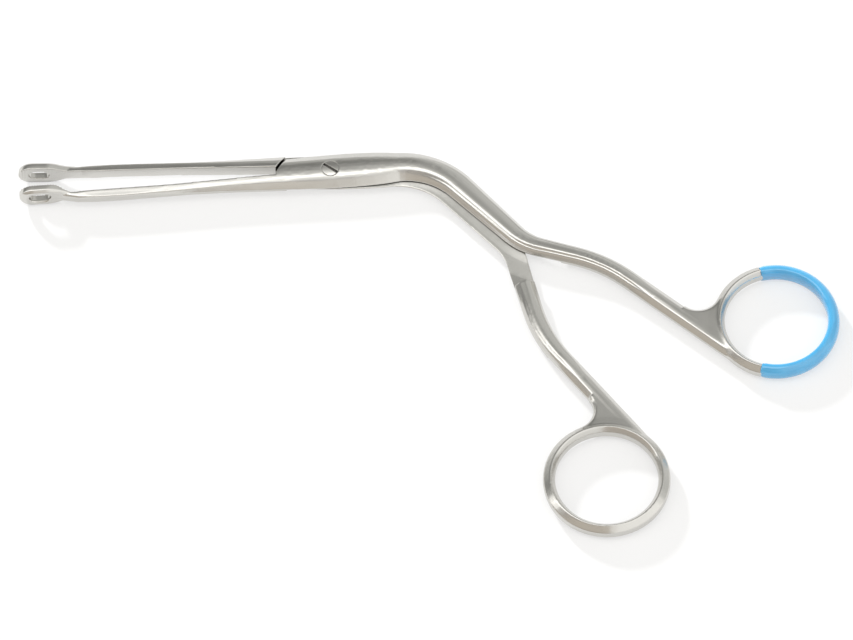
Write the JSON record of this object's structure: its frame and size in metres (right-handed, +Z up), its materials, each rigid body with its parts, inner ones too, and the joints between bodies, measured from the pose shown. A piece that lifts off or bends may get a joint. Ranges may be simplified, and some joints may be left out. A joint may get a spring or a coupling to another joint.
{
  "type": "angled intubation forceps",
  "caption": "Long offset-handled forceps with a screw lap joint, finger rings, windowed serrated tips and a coloured coating on one ring.",
  "frame": {"origin": "under the middle of the bounding box of the forceps as it lies, at the surface it lies on", "axes": "+Z up, out of the face with the screw head; X along the middle line of the closed jaws, tips to -X; handles run to +X and -Y"},
  "size_m": [0.2336, 0.1286, 0.0079],
  "materials": {
    "steel": "satin",
    "screw_steel": "polished",
    "coating": "gloss"
  },
  "bodies": {
    "rear": {"rear_half": "steel", "pivot_screw": "screw_steel"},
    "front": {"front_half": "steel", "ring_coating": "coating"}
  },
  "joints": [
    {"name": "hinge", "type": "hinge", "parent": "rear", "child": "front", "pos_m": [-0.02708, 0.05854, 0.00359], "axis": [0.0041, -0.0042, 1], "range_deg": [-3.4, 30]}
  ]
}
